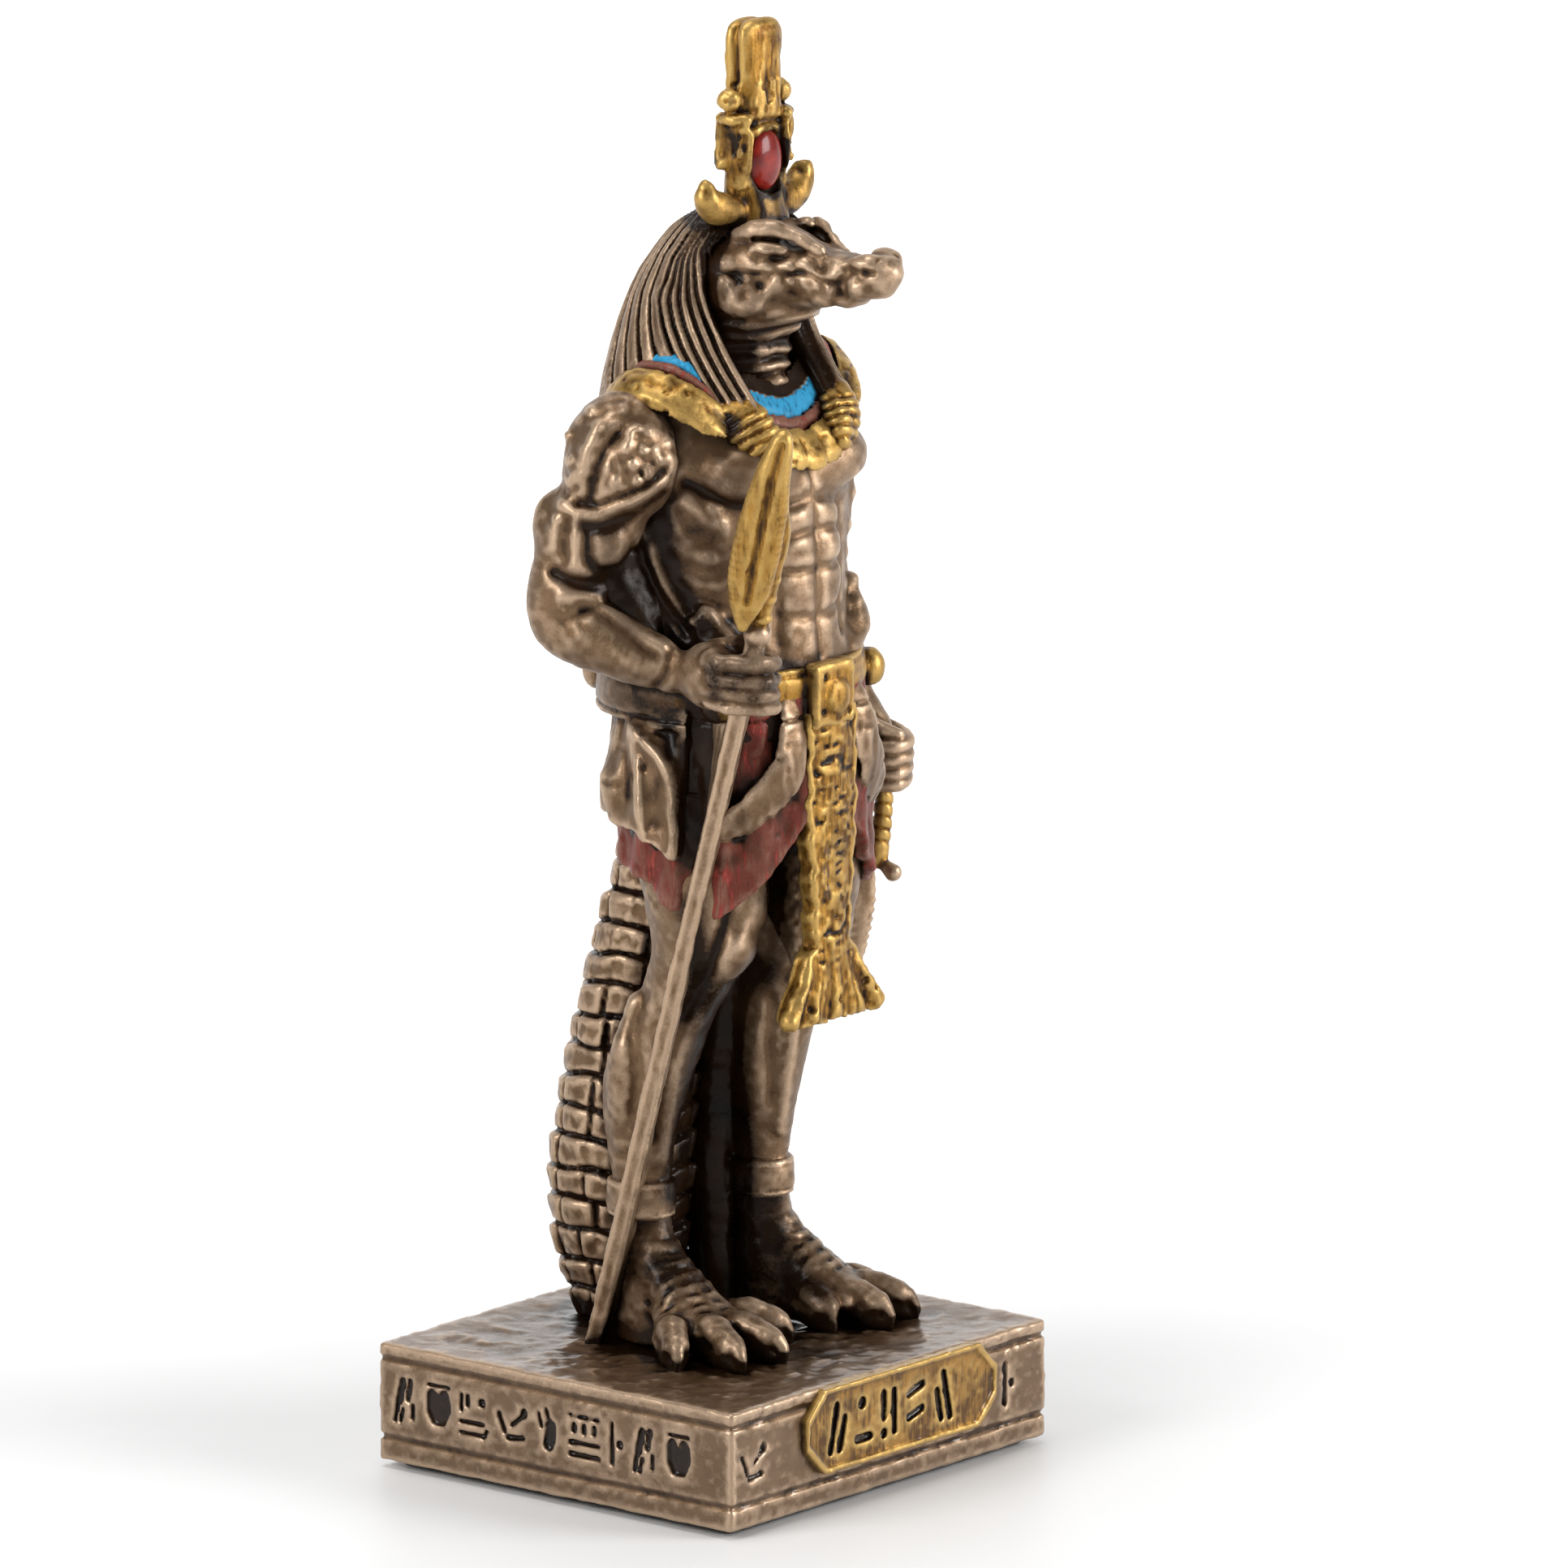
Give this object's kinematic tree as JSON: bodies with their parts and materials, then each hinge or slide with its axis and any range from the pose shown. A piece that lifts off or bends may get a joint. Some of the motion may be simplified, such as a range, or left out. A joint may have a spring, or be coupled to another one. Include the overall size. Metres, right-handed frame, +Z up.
{
  "type": "crocodile-headed god figure",
  "caption": "Small painted cast-resin statue of a crocodile-headed Egyptian god with tall crown, staff and short sword, standing on its own rectangular inscribed-look plinth.",
  "frame": {"origin": "middle of the plinth's outline on the underside of the felt pad", "axes": "+Z up along the figure, the figure faces -Y, +X towards the figure's own left hand"},
  "size_m": [0.0304, 0.0284, 0.0897],
  "materials": {
    "figure_resin": "cold-cast resin with bronze powder, black wash in the recesses, gold, dark red and turquoise paint, satin",
    "plinth_resin": "cold-cast resin with bronze powder, black wash in the recesses, gold plate on the front, satin to glossy",
    "felt": "thin dark felt glued under the plinth"
  },
  "bodies": {
    "root": {"figure": "figure_resin", "plinth": "plinth_resin", "felt_pad": "felt"}
  },
  "joints": []
}
